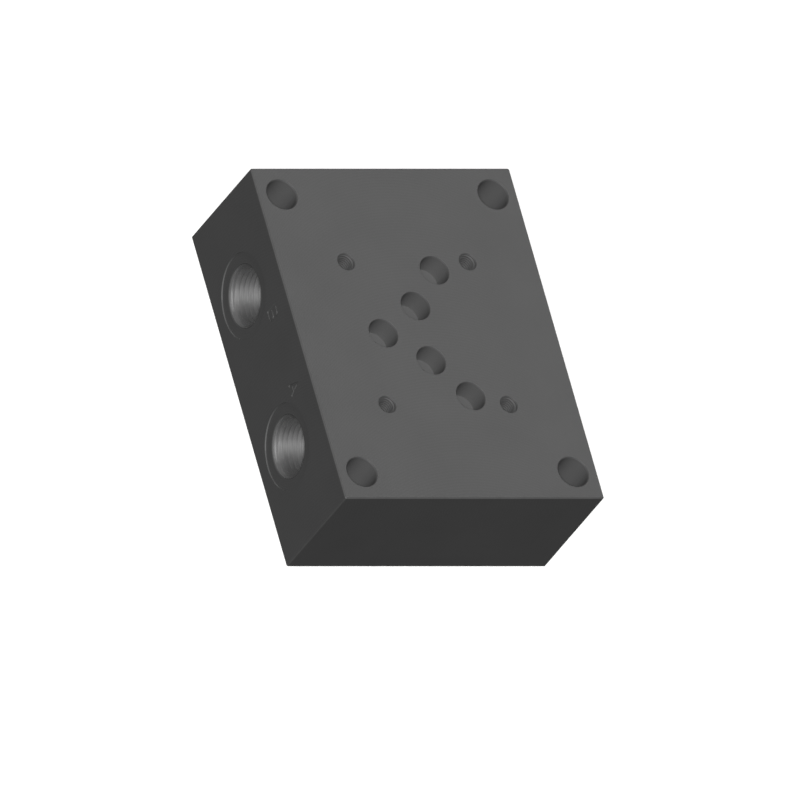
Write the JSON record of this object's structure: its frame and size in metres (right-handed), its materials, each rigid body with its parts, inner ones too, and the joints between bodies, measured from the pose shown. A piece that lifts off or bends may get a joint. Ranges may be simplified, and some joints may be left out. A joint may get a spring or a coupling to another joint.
{
  "type": "hydraulic manifold block",
  "caption": "Rectangular steel subplate that carries a directional valve, with flat-bottomed valve ports on top, threaded side ports and corner fixing holes.",
  "frame": {"origin": "middle of the back face, which the block stands on", "axes": "+Z out of the valve face, +Y along the block from the A and T ports towards the B and P ports, +X across it from the side with ports A and B to the side with ports P and T"},
  "size_m": [0.098, 0.125, 0.045],
  "materials": {
    "phosphated_steel": "milled, then phosphated: a dull dark grey, a little lighter on the valve face"
  },
  "bodies": {
    "root": {"manifold_block": "phosphated_steel"}
  },
  "joints": []
}
